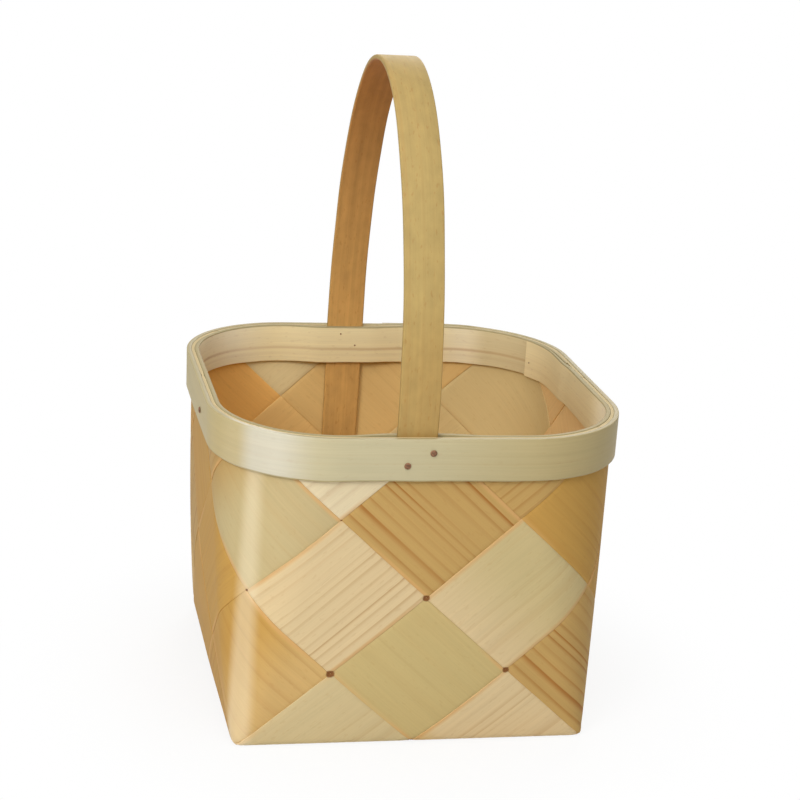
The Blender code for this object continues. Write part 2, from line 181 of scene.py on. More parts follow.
class HoopSettings(bpy.types.PropertyGroup):
    """Sizes and colour of the two rim hoops."""

    outer_height: length("Outer height", "Height of the outer hoop", 20.5 * MM)
    outer_thickness: length("Outer thickness", "Thickness of the outer hoop", 2.0 * MM)
    inner_height: length("Inner height", "Height of the inner hoop", 19.8 * MM)
    inner_thickness: length("Inner thickness", "Thickness of the inner hoop", 1.8 * MM)
    edge: length("Edge radius", "Rounding of the hoops' edges", 0.5 * MM)
    lap: length("Lap", "How far the ends of a hoop lie over each other", 46 * MM)
    ramp: length("Lap ramp", "Length in which a hoop steps onto its lap", 9 * MM)
    outer: colour("Outer hoop", "Wood of the outer hoop", srgb(195, 186, 152))
    # Painted highlight: the palest stretch of the outer hoop, at its front left corner
    palest: colour("Palest stretch", "Palest wood of the outer hoop", srgb(203, 198, 178))
    straw: colour("Straw stretch", "Wood of the outer hoop on the left", srgb(188, 173, 127))
    # Painted shade: darker towards the right, where the light falls off, and a yellower tone
    yellower_with_painted_shade: colour("Yellower stretch with painted shade", "Wood of the outer hoop on the right", srgb(182, 167, 122))
    # Painted light: the inner hoop is lighter than the outer, against the shade inside the basket
    inner: colour("Inner hoop", "Wood of the inner hoop", srgb(242, 226, 180))
    whitish: colour("Whitish stretch", "Wood of the inner hoop by its lap", srgb(240, 228, 194))
    shaded: colour("Darker stretch", "Inner hoop at the back right", srgb(217, 202, 160))
    # Painted light on the inner hoop's left part, which lies in its own shade
    painted_light_stretch: colour("Painted light stretch", "Palest wood of the inner hoop", srgb(252, 243, 214))
    # Painted shade: darker top edges of the hoops, where the top light falls fully
    edges: colour("Edge shade", "Edges and hidden faces of the hoops", srgb(173, 160, 120))


class HandleSettings(bpy.types.PropertyGroup):
    """Sizes and colours of the bent handle."""

    width: length("Width", "Width of the strap", 19 * MM)
    thickness: length("Thickness", "Thickness of the strap", 2.6 * MM)
    edge: length("Edge radius", "Rounding of the strap's edges", 0.8 * MM)
    top: length("Top", "Height of the handle over the floor", 316 * MM)
    foot: length("Foot", "Height of the strap's ends over the floor", 62 * MM)
    offset: bpy.props.FloatProperty(
        name="Offset", description="Place across the basket", default=-9.5 * MM, unit="LENGTH"
    )
    outside: colour("Outside", "Wood on the outside of the bend", srgb(183, 158, 100))
    inside: colour("Inside", "Wood on the inside of the bend", srgb(205, 161, 95))
    lower: colour("Lower outside", "Outside of the front leg near the rim", srgb(178, 149, 91))
    # Painted shade: the inner face darkens towards the crown, where it faces down
    browning_and_painted_shade: colour("Painted shade inside", "Wood on the inside of the crown", srgb(170, 112, 56))


class NailSettings(bpy.types.PropertyGroup):
    """Sizes and colour of the nails."""

    shank: length("Shank radius", "Radius of a nail's shank", 0.75 * MM)
    head: length("Head radius", "Radius of a nail's head", 1.6 * MM)
    dome: length("Head height", "Height of a nail's head", 0.7 * MM)
    point: length("Point", "Length of a nail's point", 1.2 * MM)
    proud: length("Proud", "How far a point stands out inside", 0.5 * MM)
    steel: colour("Nail steel", "Brown surface of the nails", srgb(154, 108, 76))


class StageSettings(bpy.types.PropertyGroup):
    """Camera, light and floor."""

    azimuth: angle("Azimuth", "Camera to the left of the front", 12.717)
    elevation: angle("Elevation", "Camera above the horizon", 16.957)
    roll: angle("Roll", "Camera turned about its view", 4.0)
    distance: length("Distance", "Camera from its target", 1.0179)
    target_x: bpy.props.FloatProperty(
        name="Target across", description="Target to the right", default=0.0025, unit="LENGTH"
    )
    target_z: length("Target height", "Target over the floor", 0.1454)
    lens: bpy.props.FloatProperty(
        name="Lens", description="Focal length in mm on a 36 mm sensor", default=91.74
    )
    floor: colour("Floor", "Colour of the floor", (0.93, 0.93, 0.93))
    floor_size: length("Floor size", "Width of the floor", 8.0)


class BasketSettings(bpy.types.PropertyGroup):
    """Everything that can be set on the basket."""

    weave: bpy.props.PointerProperty(type=WeaveSettings)
    hoops: bpy.props.PointerProperty(type=HoopSettings)
    handle: bpy.props.PointerProperty(type=HandleSettings)
    nails: bpy.props.PointerProperty(type=NailSettings)
    stage: bpy.props.PointerProperty(type=StageSettings)


# Wood of each strip: colour, strength of the grain, its spacing and waviness in mm, a seed, and the
# stretches (from one u to another, in mm) over which it turns to other colours
STRIP_LOOKS = {
    "strip_right_leaning_1": (
        "khaki", 0.12, 9.0, 3.0, 3.1,
        ((-20, 10, "honey"), (-165, -185, "soft_khaki"), (-210, -245, "golden")),
    ),
    "strip_right_leaning_2": ("honey", 0.34, 7.0, 5.0, 7.7, ((-128, -168, "amber"),)),
    "strip_right_leaning_3": (
        "pink", 0.5, 5.0, 2.5, 1.9, ((-165, -135, "amber"), (-270, -290, "golden")),
    ),
    "strip_right_leaning_4": ("amber", 0.20, 7.0, 3.0, 5.3, ((-205, -235, "pale"),)),
    "strip_left_leaning_1": (
        "cream", 0.18, 11.0, 7.0, 2.4,
        ((165, 115, "pink"), (95, 70, "soft_cream"), (-15, -45, "amber"), (195, 225, "amber")),
    ),
    "strip_left_leaning_2": ("pink", 0.3, 6.0, 4.0, 9.2, ((75, 60, "honey"), (125, 165, "amber"))),
    "strip_left_leaning_3": ("golden", 0.95, 5.0, 1.5, 6.6, ()),
    "strip_left_leaning_4": ("amber", 0.4, 6.5, 3.0, 4.5, ()),
}

# Stretches where the inner face of a strip turns to other colours of painted bounce light and shade
STRIP_INSIDES = {
    "strip_right_leaning_1": ((165, 185, "inside_soft"),),
    "strip_right_leaning_2": ((-285, -305, "inside_warm"),),
    "strip_right_leaning_3": ((165, 185, "inside_bright"),),
    "strip_right_leaning_4": ((115, 130, "inside_soft"), (225, 245, "inside_bright")),
    "strip_left_leaning_1": ((-232, -242, "inside_pale"),),
    "strip_left_leaning_2": (
        (-165, -180, "inside_light"), (-245, -265, "inside"), (225, 245, "inside_bright"),
    ),
    "strip_left_leaning_3": (),
    "strip_left_leaning_4": ((-165, -185, "inside_warm"),),
}

# Growth lines of hoops and handle: strength, and spacing and waviness in mm. A seed for each
OUTER_HOOP_GRAIN = ((0.06, 5.0, 1.5), 8.3)
INNER_HOOP_GRAIN = ((0.08, 6.0, 1.0), 2.2)
HANDLE_GRAIN = ((0.14, 5.0, 1.0), 5.9)

# The long dark line on the inner hoop: place across the grain, half its width, and its last u
HOOP_STRIPE = (10 * MM, 1.3 * MM, 550 * MM)

# Stretches of the hoops and of the two faces of the handle
# Outer hoop: the palest stretch is a painted highlight, the darker one on the right painted shade
OUTER_HOOP_STRETCHES = ((346, 326, "palest"), (314, 303, "straw"), (365, 465, "yellower_with_painted_shade"))
# Inner hoop: the palest stretch, past 225 mm, is painted light, the darker one painted shade
INNER_HOOP_STRETCHES = (
    (105, 88, "whitish"), (86, 72, "shaded"), (48, 38, "inner"), (190, 225, "painted_light_stretch"),
    (600, 630, "inner"),
)
HANDLE_OUTSIDE_STRETCHES = ((165, 120, "lower"),)
# The handle's inner face darkens towards the crown: painted shade
HANDLE_INSIDE_STRETCHES = ((500, 310, "browning_and_painted_shade"),)

# Crossings where the weave leaves a small hole: turn, climb and radius in mm
# Each hole also gets a dark spot of painted shade, out to about its radius
WEAVE_HOLES = (
    (0.0, 1.0, 1.8), (-0.5, 0.5, 2.2), (0.5, 0.5, 1.8), (-1.0, 1.0, 0.8), (-0.5, 1.5, 0.6),
    (0.0, 0.0, 1.4), (2.5, 0.5, 1.2), (4.0, 1.0, 1.0), (5.5, 0.5, 1.2),
)

# Nails of the handle: leg, place across the strap and down the hoop, as shares of each
HANDLE_NAILS = {
    "handle_nail_front_upper": (0, 0.36, 0.32),
    "handle_nail_front_lower": (0, -0.25, 0.62),
    "handle_nail_back_upper": (1, 0.14, 0.20),
    "handle_nail_back_lower": (1, -0.28, 0.50),
}

# Nails of the hoops: place round the rim and down the hoop, as shares of each
HOOP_NAILS = {
    "hoop_nail_left": (0.778, 0.58),
    "hoop_nail_right": (0.351, 0.58),
    "hoop_nail_back_upper": (0.454, 0.34),
    "hoop_nail_back_lower": (0.4405, 0.62),
}

# Noises of the wood: shift of the seed, scale per metre along and across the grain, and detail
WOOD_NOISES = {
    "slow": (0, 5.0, 14.0, 1.0),
    "uneven": (4, 0.5, 40.0, 1.0),
    "fade": (9, 9.0, 25.0, 1.0),
    "fibre": (13, 26.0, 1500.0, 3.0),
    "streak": (17, 4.0, 330.0, 3.0),
    "broad": (21, 8.0, 18.0, 2.0),
    "pores": (29, 240.0, 700.0, 1.0),
    "wear_and_painted_highlight": (33, 14.0, 3.0, 1.0),
    "patches": (37, 110.0, 190.0, 4.0),
}

# Smooth steps of the looks: from one value to another, and for some what they give at each
LINE_RISE = (0.4, 0.93)
LINE_FALL = (1.0, 0.93)
LINE_STRENGTH = (-0.1, 0.9, 0.2, 1.0)
LINE_FADE = (0.3, 0.6, 0.35, 1.0)
PORE_EDGE = (0.62, 0.74)
LATE_TINGE = (0.35, 0.75, 0.0, 0.12)
EDGE_BROWNING = (0.38, 0.6, 0.0, 0.75)
STRIPE_DEPTH = (0.3, 0.55, 0.22, 0.42)
# Painted shade round a hole, from 1.2 to 0.8 of its radius
HOLE_PAINTED_SHADE = (1.2, 0.8)
STEEL_BLOTCH = (0.35, 0.7)
FLOOR_FADE = (0.09, 0.2, 0.85, 1.0)

# Growth lines: how far their spacing varies, in lines, and the shift of their seed
LINE_UNEVENNESS = 3.5
LINE_SEED = 50

# Browned edge of a strip, from its half width: inner fade from and to, and outer fade
BROWN_FROM = 2.8 * MM
BROWN_TO = 0.6 * MM
BROWN_BEYOND = 1.5 * MM

# Relief of the surfaces: strength and height, and how much a growth line lies below the fibres
WOOD_RELIEF = (0.2, 0.08 * MM)
STEEL_RELIEF = (0.3, 0.05 * MM)
LINE_RELIEF = -0.2

# Weights of the wood's noises in its tone and roughness, and what the second wood takes off a line
FIBRE_TONE = 0.16
BROAD_TONE = 0.16
STREAK_TONE = 0.12
BLOTCH_LEVEL = -0.14
FIBRE_ROUGHNESS = 0.25
LINE_LOSS = -0.8

# Smoother corner of chip and outer hoop: low, high, roughness, sheen and share of the paler colour
# The paler colour is a painted highlight; the outer hoop takes none of it
CHIP_RUBBED_WITH_PAINTED_HIGHLIGHT = (75.5 * MM, 81.5 * MM, 0.38, 0.5, 0.34)
HOOP_RUBBED = (62 * MM, 76 * MM, 0.36, 0.7, 0.0)

# Light: colours, strength of the surroundings, and the height at which the lamps are aimed
LAMP_TINT = (1.0, 0.985, 0.95)
AMBIENT_TINT = (1.0, 0.99, 0.97)
AMBIENT_STRENGTH = 0.17
LAMP_AIM = 0.12

# Lamps: azimuth and elevation in degrees, distance, width, height and power
LAMPS = {
    "key_light": (-44, 32, 1.6, 0.6, 0.6, 11.3),
    "front_light": (-8, 38, 1.6, 0.8, 0.8, 5.4),
    "top_light": (0, 75, 1.6, 1.0, 1.0, 8.2),
    "back_light": (160, 28, 1.6, 0.9, 0.9, 9.0),
    "side_light": (-46, -7, 0.306, 0.07, 0.13, 0.038),
}


def stretches(group, spans):
    """The same spans in metres, with a colour of the group in place of its name."""
    return [(first * MM, last * MM, getattr(group, name)) for first, last, name in spans]


# Shapes


def wall(turn, climb, weave):
    """Points of the wall's middle surface.

    turn runs round the wall in diagonals of a weave square from the middle of the front, climb
    runs up it. Each level is a square with rounded corners and the same length round:
    half width = half side + (1 - pi/4) * radius, where the radius grows as climb to the power 0.6.
    The belly is share * (1 - share) squared, over its peak of 4/27, times the square of a cosine
    across the side.
    """
    diagonal = weave.diagonal
    turn, climb = np.broadcast_arrays(np.asarray(turn, float), np.asarray(climb, float))
    share = np.clip(climb, 0, None) * diagonal * weave.rise / (weave.rim_height - BASE_LEVEL)
    side = np.floor((turn + 1) / 2)
    local = turn - 2 * side
    radius = np.hypot(weave.rim_radius * share ** RADIUS_POWER, weave.base_radius)
    out = diagonal + (1 - math.pi / 4) * radius
    flat = out - radius
    along = np.abs(local) * diagonal
    angle = np.clip((along - flat) / radius, 0, None)
    along = np.where(angle > 0, flat + radius * np.sin(angle), along)
    out = np.where(angle > 0, flat + radius * np.cos(angle), out)
    swell = share * (1 - share) ** 2 / BELLY_PEAK * np.cos(math.pi * local / 2) ** 2
    out = out + weave.belly * swell
    x, y = np.copysign(along, local), -out
    spin = side * math.pi / 2
    return np.stack([
        x * np.cos(spin) - y * np.sin(spin),
        x * np.sin(spin) + y * np.cos(spin),
        BASE_LEVEL + climb * diagonal * weave.rise,
    ], axis=-1)


def unit(vectors):
    """The vectors at length one."""
    return vectors / np.maximum(np.linalg.norm(vectors, axis=-1, keepdims=True), 1e-12)


def wall_out(turn, climb, weave, step=0.02):
    """Outward normals of the wall: the cross product of its slopes round and up."""
    across = wall(turn + step, climb, weave) - wall(turn - step, climb, weave)
    low = np.clip(climb - step, 0, None)
    up = wall(turn, climb + step, weave) - wall(turn, low, weave)
    return unit(np.cross(across, up))


def climb_at(height, weave):
    """How far up the wall, in diagonals from the base edge, a height lies."""
    return (height - BASE_LEVEL) / (weave.diagonal * weave.rise)


def wander(place, seed, size):
    """A slow uneven curve: three sines of unlike length, scaled to a size."""
    waves = np.sin(place * 17 + seed * 5) + 0.6 * np.sin(place * 41 + seed * 11)
    return size * (waves + 0.35 * np.sin(place * 83 + seed * 3)) / 1.95


def soften(points, weights=(0.06, 0.24, 0.4, 0.24, 0.06)):
    """Each row becomes the weighted mean of itself and its two neighbours on each side.

    Past each end the rows go on in a straight line, so the ends keep their place.
    """
    reach = len(weights) // 2
    steps = np.arange(1, reach + 1)[:, None, None]
    before = points[:1] + (points[:1] - points[1:2]) * steps[::-1]
    after = points[-1:] + (points[-1:] - points[-2:-1]) * steps
    longer = np.concatenate([before, points, after])
    count = len(points)
    return sum(weight * longer[shift:shift + count] for shift, weight in enumerate(weights))


def strip_places(start, end, per_crossing=60, turning=80):
    """Rows of places along a strip, with a start and an end for each of its columns.

    Between the first and the last weave line that all columns reach, the rows stand straight
    across the strip, a whole number to each crossing. Past them they turn to meet the slanting
    ends.
    """
    low, high = math.ceil(start.max() * 2) / 2, math.floor(end.min() * 2) / 2
    straight = np.linspace(low, high, round((high - low) * 2 * per_crossing) + 1)
    share = np.linspace(0, 1, turning, endpoint=False)[:, None]
    first = start + (low - start) * share
    last = end + (high - end) * share
    return np.concatenate([first, straight[:, None] + 0 * start, last[::-1]])


def laid_out(way, index, along, across):
    """Where points of a strip lie: (x, y) in the base plane, side of the wall, turn and climb.

    In the plane where the walls are laid out flat round the base, a strip runs along one diagonal
    line: x = along -+ shift, y = +-along + shift. Outside the base square, turn is the place along
    the side where the strip leaves, and climb the distance from it.
    """
    lane = index - 1.5
    low, high = {(1, True): (3, 2), (1, False): (0, 1), (-1, True): (2, 1), (-1, False): (3, 0)}[
        (way, lane > 0)
    ]
    shift = (lane + across) / 2
    x = along - way * shift
    y = way * along + shift
    side = np.where(along < 0, low, high)
    turn = 2 * side + np.choose(side, [x, y, -x, -y])
    return x, y, side, turn, np.choose(side, [-y, x, y, -x]) - 1


def hole_distances(turn, climb, diagonal):
    """Distance on the wall from every small hole, in radii of that hole."""
    far = []
    for hole_turn, hole_climb, size in WEAVE_HOLES:
        aside = (turn - hole_turn + ROUND / 2) % ROUND - ROUND / 2
        far.append(np.hypot(aside, climb - hole_climb) * diagonal / (size * MM))
    return np.array(far)


def strip_grid(way, index, weave, seed, columns=36):
    """Places along and across a strip, and the share of its full thickness there.

    The strip thins out over its last columns, and its ends are cut level with the rim. The edges
    wander a little and draw back round the holes.
    """
    inner = np.linspace(-1, 1, columns)[1:-1] * INNER_SPREAD
    spread = np.concatenate([-EDGE_SPREAD[::-1], inner, EDGE_SPREAD])
    full = np.concatenate([EDGE_THICKNESS[::-1], np.ones(columns - 2), EDGE_THICKNESS])
    limit = climb_at(weave.rim_height - SEAT_GAP, weave)
    across = spread * (0.5 - weave.slit / weave.pitch / 2)
    ends = np.array([-1.0, 1.0])[:, None] * (1 + limit) + 0 * across
    for end, away in ((0, -1), (1, 1)):
        climb = laid_out(way, index, ends[end], across)[-1]
        ends[end] += (limit - climb) * away
    along = strip_places(*ends)
    across = np.broadcast_to(across, along.shape)
    turn, climb = laid_out(way, index, along, across)[3:]
    back = wander(along * 0.4 + 3 * np.sign(spread), seed, STRIP_WANDER)
    for (*_, size), far in zip(WEAVE_HOLES, hole_distances(turn, climb, weave.diagonal)):
        back = back + HOLE_NICK_SHARE * size * MM * np.exp(-(far / HOLE_NICK_REACH) ** 2)
    across = across - np.sign(across) * back / weave.pitch * np.abs(spread) ** 6
    return along, across, np.broadcast_to(full, along.shape)


def strip_surface(way, index, weave, seed):
    """Middle surface of a strip, its outward normals, thickness share, own (u, v) and holes.

    The folds at the base edge are rounded by softening the rows. The weave then moves the strip out
    of or into the wall by half a layer: sign * (1 - exp(-distance from the weave line / dip)), with
    the sign changing at each line. The last result is the distance to the nearest hole in its own
    radii.
    """
    diagonal = weave.diagonal
    along, across, full = strip_grid(way, index, weave, seed)
    x, y, _, turn, climb = laid_out(way, index, along, across)
    holes = np.clip(hole_distances(turn, climb, diagonal).min(axis=0), 0, 9)
    flat = np.stack([x * diagonal, y * diagonal, np.full_like(x, BASE_LEVEL)], axis=-1)
    on_wall = (climb > 0)[..., None]
    middle = np.where(on_wall, wall(turn, climb, weave), flat)
    out = np.where(on_wall, wall_out(turn, np.clip(climb, 0, None), weave), (0, 0, -1))
    for _ in range(FOLD_SOFTENINGS):
        middle, out = soften(middle), soften(out)
    crossing = np.floor(2 * along + 1e-9)
    inside = 2 * along - crossing
    sign = np.where((crossing + index) % 2 == 0, 1, -1)
    gap = np.minimum(inside, 1 - inside) * weave.pitch
    lift = sign * (1 - np.exp(-gap / weave.dip)) * LAYER_OFFSET
    middle = middle + unit(out) * lift[..., None]
    out = -unit(np.cross(np.gradient(middle, axis=0), np.gradient(middle, axis=1)))
    own = np.stack([along * diagonal * math.sqrt(2), across * weave.pitch], axis=-1)
    return middle, out, full, own, holes


def sheet_faces(rows, columns):
    """Corner numbers of a closed sheet: outer grid, inner grid turned over, and four edges."""
    grid = np.arange(rows * columns).reshape(rows, columns)
    under = grid + rows * columns

    def quads(a, b, c, d):
        return np.stack([a, b, c, d], axis=-1).reshape(-1, 4)

    return np.concatenate([
        quads(grid[:-1, :-1], grid[:-1, 1:], grid[1:, 1:], grid[1:, :-1]),
        quads(under[:-1, :-1], under[1:, :-1], under[1:, 1:], under[:-1, 1:]),
        quads(grid[:-1, 0], grid[1:, 0], under[1:, 0], under[:-1, 0]),
        quads(grid[:-1, -1], under[:-1, -1], under[1:, -1], grid[1:, -1]),
        quads(grid[0, :-1], under[0, :-1], under[0, 1:], grid[0, 1:]),
        quads(grid[-1, :-1], grid[-1, 1:], under[-1, 1:], under[-1, :-1]),
    ])


def add_piece(node, points, faces, layers, material):
    """Puts a finished mesh in the place of a node, with layers of (u, v) for its faces' corners."""
    name = node + ("_steel" if "nail" in node else "_wood")
    mesh = bpy.data.meshes.new(name)
    mesh.from_pydata(points, [], faces)
    for title, values in layers.items():
        layer = mesh.uv_layers.new(name=title)
        layer.data.foreach_set("uv", np.asarray(values, np.float32).ravel())
    mesh.materials.append(material)
    mesh.shade_smooth()
    mesh.set_sharp_from_angle(angle=SHARP_ANGLE)
    piece = bpy.data.objects.new(name, mesh)
    bpy.context.scene.collection.objects.link(piece)
    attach(piece, "root")
    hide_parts(node)


def rounded_bar(steps=4):
    """A bar's section: four quarter circles, one at each corner.

    Returns which end of the bar's depth and rise each point is at, as 0 or 1, and how far it is
    inset from there, in corner radii. The points run near low, far low, far high, near high.
    """
    angles = np.linspace(0, math.pi / 2, steps)
    cosine, sine = np.cos(angles), np.sin(angles)
    inset = np.concatenate([
        np.stack([1 - cosine, 1 - sine], axis=-1), np.stack([sine - 1, 1 - cosine], axis=-1),
        np.stack([cosine - 1, sine - 1], axis=-1), np.stack([1 - sine, cosine - 1], axis=-1),
    ])
    ends = np.repeat([(0, 0), (1, 0), (1, 1), (0, 1)], steps, axis=0)
    return ends, inset


def swept_bar(name, rings, run, girth, material):
    """A closed bar in place of a node, with its own (u, v): run along it, girth round it.

    rings is (stations, corners, 3). Each face joins two neighbouring corners of two neighbouring
    rings, and each end is one flat face.
    """
    stations, corners = rings.shape[:2]
    grid = np.arange(stations * corners).reshape(stations, corners)
    after = np.roll(grid, -1, axis=1)
    quads = np.stack([grid[:-1], after[:-1], after[1:], grid[1:]], axis=-1).reshape(-1, 4)
    near, far, here, there = np.broadcast_arrays(
        girth[:-1], girth[1:], run[:-1, None], run[1:, None]
    )
    corner_uvs = np.stack([
        np.stack([here, near], -1), np.stack([here, far], -1),
        np.stack([there, far], -1), np.stack([there, near], -1),
    ], axis=2).reshape(-1, 2)
    caps = [grid[0][::-1].tolist(), grid[-1].tolist()]
    cap_uvs = np.concatenate([
        np.stack([np.full(corners, run[0]), girth[:-1][::-1]], -1),
        np.stack([np.full(corners, run[-1]), girth[:-1]], -1),
    ])
    layers = {"grain": np.concatenate([corner_uvs, cap_uvs])}
    add_piece(name, rings.reshape(-1, 3), quads.tolist() + caps, layers, material)


def arc_length(points):
    """Distance along a line of points, from its first."""
    return np.concatenate([[0], np.cumsum(np.linalg.norm(np.diff(points, axis=0), axis=1))])


def handle_turns(settings):
    """The turns at the middle of the front leg and of the back leg."""
    shift = settings.handle.offset / settings.weave.diagonal
    return shift, ROUND / 2 - shift


def handle_nearness(turn, settings):
    """How far the inner hoop steps in round a handle leg: 1 over the leg, a cosine ease to 0."""
    diagonal = settings.weave.diagonal
    middles = np.array(handle_turns(settings))
    gaps = np.abs((turn[..., None] - middles + ROUND / 2) % ROUND - ROUND / 2).min(axis=-1)
    clear = settings.handle.width / 2 + LEG_CLEARANCE
    share = np.clip((gaps * diagonal - clear) / LEG_EASE, 0, 1)
    return (1 + np.cos(math.pi * share)) / 2


def hoop_layer(run, thickness, settings):
    """Near and far face of a hoop beyond its seat, by the run from its start.

    The first end thins out to a feather of 0.3 of the thickness, then the hoop is full, and past
    one round it steps up a ramp and lies over the first end, thinning out in turn.
    """
    diagonal = settings.weave.diagonal
    lap, ramp = settings.hoops.lap / diagonal, settings.hoops.ramp / diagonal
    feather = FEATHER_SHARE * thickness
    step = (feather + SEAT_GAP) * np.clip((run - ROUND + ramp) / ramp, 0, 1)
    share = np.clip((run - ROUND) / lap, 0, 1)
    near = step + (thickness - feather) * share
    far = near + thickness - (thickness - feather) * share
    first = feather + (thickness - feather) * np.clip(run / lap, 0, 1)
    return near, np.where(run < lap, first, far)


def hoop(name, start, direction, thickness, height, material, settings, stations=420):
    """A flat band bent round the rim with lapped ends.

    Each ring is the bar's section set between the wall's points at the band's low and high edge,
    and moved out of (direction 1) or into (-1) the wall by its seat and its layer. Its first round
    is thicker by a press towards the wall, which closes the gap over the strips.
    """
    weave = settings.weave
    diagonal = weave.diagonal
    run = np.linspace(0, ROUND + settings.hoops.lap / diagonal, stations)
    turn = start + run
    limit = climb_at(weave.rim_height, weave)
    bottom = wall(turn, climb_at(weave.rim_height - height, weave) + 0 * turn, weave)
    top = wall(turn, limit + 0 * turn, weave)
    out = wall_out(turn, limit + 0 * turn, weave, 0.025)
    out = unit(out * (1, 1, 0)) * direction
    near, far = hoop_layer(run, thickness, settings)
    near = near - HOOP_PRESS * np.clip((ROUND - run) * diagonal / settings.hoops.ramp, 0, 1)
    seat = SEAT + 0 * turn
    if direction < 0:
        seat = seat + (settings.handle.thickness + SEAT_GAP) * handle_nearness(turn, settings)
    edge = np.minimum(settings.hoops.edge, (far - near) * 0.4)[:, None]
    ends, inset = rounded_bar()
    depth = ends[:, 0] * (far - near)[:, None] + inset[:, 0] * edge
    rise = ends[:, 1] * height + inset[:, 1] * edge
    rise = rise + (1 - ends[:, 1]) * wander(run * 0.3, start, BAR_WANDER)[:, None]
    middle = bottom[:, None] + (top - bottom)[:, None] * (rise / height)[..., None]
    rings = middle + out[:, None] * (seat[:, None] + near[:, None] + depth)[..., None]
    if direction > 0:
        rings, rise, depth = rings[:, ::-1], rise[:, ::-1], depth[:, ::-1]
    full = np.stack([depth, rise], axis=-1)[len(run) // 2]
    girth = arc_length(np.concatenate([full, full[:1]]))
    swept_bar(name, rings, run * diagonal, girth, material)


def strap_path(settings):
    """Reach and height along half of the handle, from the foot to the crown.

    The leg lies against the wall up to the rim. Then a cubic Bezier curve leaves in line with the
    leg (half of the rise) and meets the crown level (0.6 of the reach).
    """
    weave, strap = settings.weave, settings.handle

    def reach(height):
        turn = strap.offset / weave.diagonal + 0 * height
        points = wall(turn, climb_at(height, weave), weave)
        return -points[..., 1] - SEAT + STRAP_PRESS - strap.thickness / 2

    rim, hoop_height = weave.rim_height, settings.hoops.inner_height
    heights = np.linspace(strap.foot, rim, 40)[:-1]
    leg = np.stack([reach(heights), heights], axis=-1)
    levels = (rim, rim - hoop_height)
    start, below = (np.array([reach(np.float64(level)), level]) for level in levels)
    crown = np.array([0, strap.top - strap.thickness / 2])
    leave = start + (start - below) * (ARCH_LEG_SHARE * (crown[1] - start[1]) / hoop_height)
    arrive = crown + np.array([ARCH_CROWN_SHARE * start[0], 0])
    t = np.linspace(0, 1, 90)[:, None]
    s = 1 - t
    arch = start * s ** 3 + leave * (3 * s * s * t) + arrive * (3 * s * t * t) + crown * t ** 3
    return np.concatenate([leg, arch])


def strap_handle(name, material, settings):
    """One strap bent over from front to back: its section set square to a path."""
    strap = settings.handle
    half = strap_path(settings)
    path = np.concatenate([half * (-1, 1), half[-2::-1]])
    path = np.stack([np.full(len(path), strap.offset), path[:, 0], path[:, 1]], axis=-1)
    tangent = unit(np.gradient(path, axis=0))
    outward = np.cross((1, 0, 0), tangent)
    ends, inset = rounded_bar()
    section = (ends - 0.5) * (strap.thickness, strap.width) + inset * strap.edge
    run = arc_length(path)
    left, right = (wander(run * 1.6, seed, BAR_WANDER) for seed in (2.0, 4.0))
    width = section[:, 1] + np.where(ends[:, 1] > 0, right[:, None], left[:, None])
    rings = path[:, None] + outward[:, None] * section[:, :1]
    rings = rings + np.array((1.0, 0, 0)) * width[..., None]
    girth = arc_length(np.concatenate([section, section[:1]]))
    swept_bar(name, rings, run, girth, material)


def nail_places(settings):
    """Name, turn and height of every nail, by its place on the strap or round the rim."""
    weave = settings.weave
    legs, wide = handle_turns(settings), settings.handle.width / weave.diagonal
    places = [
        (name, legs[leg] + share * wide, down) for name, (leg, share, down) in HANDLE_NAILS.items()
    ]
    places += [(name, share * ROUND, down) for name, (share, down) in HOOP_NAILS.items()]
    fall = settings.hoops.outer_height
    return [(name, turn, weave.rim_height - down * fall) for name, turn, down in places]


def hoop_reach(turn, start, thickness, settings):
    """The farthest face of a hoop at a turn, over both layers of its lap."""
    run = (turn - start) % ROUND
    faces = [hoop_layer(np.array([run]), thickness, settings)[1][0]]
    if run * settings.weave.diagonal < settings.hoops.lap:
        faces.append(hoop_layer(np.array([run + ROUND]), thickness, settings)[1][0])
    return max(faces)


def nail(name, turn, height, material, settings, sides=28):
    """A nail turned about its axis, square to the wall: domed head, round shank, short point.

    The dome is a quarter of an ellipse. Every ring is radius * (cos, sin) of the same angles.
    """
    weave, hoops, sizes = settings.weave, settings.hoops, settings.nails
    climb = climb_at(height, weave)
    out = wall_out(np.float64(turn), np.float64(climb), weave)
    centre = wall(np.float64(turn), np.float64(climb), weave)
    head = SEAT + hoop_reach(turn, OUTER_START, hoops.outer_thickness, settings)
    tip = SEAT + hoop_reach(turn, INNER_START, hoops.inner_thickness, settings)
    tip += (settings.handle.thickness + SEAT_GAP) * handle_nearness(np.array([turn]), settings)[0]
    tip = -tip - sizes.proud
    lift = np.linspace(0, math.pi / 2, 7)[1:]
    crown = head + SEAT_GAP
    dome = np.stack([sizes.head * np.sin(lift), crown + sizes.dome * np.cos(lift)], axis=-1)
    shank = np.array([
        (sizes.head * 0.98, head + 0.6 * SEAT_GAP), (sizes.shank, head + 0.6 * SEAT_GAP),
        (sizes.shank, tip + sizes.point), (sizes.shank * 0.6, tip + sizes.point * 0.4),
        (sizes.shank * 0.12, tip),
    ])
    profile = np.concatenate([[[1e-5, crown + sizes.dome]], dome, shank])
    angles = np.linspace(0, 2 * math.pi, sides, endpoint=False)
    right = unit(np.cross((0, 0, 1), out))
    up = np.cross(out, right)
    circle = right * np.cos(angles)[:, None] + up * np.sin(angles)[:, None]
    rings = centre + out * profile[:, 1][:, None, None] + circle * profile[:, 0][:, None, None]
    rings = rings[:, ::-1]
    run = profile[:, 1] - profile[-1, 1]
    girth = np.linspace(0, 2 * math.pi * sizes.head, sides + 1)
    swept_bar(name, rings, run, girth, material)


# Finishes


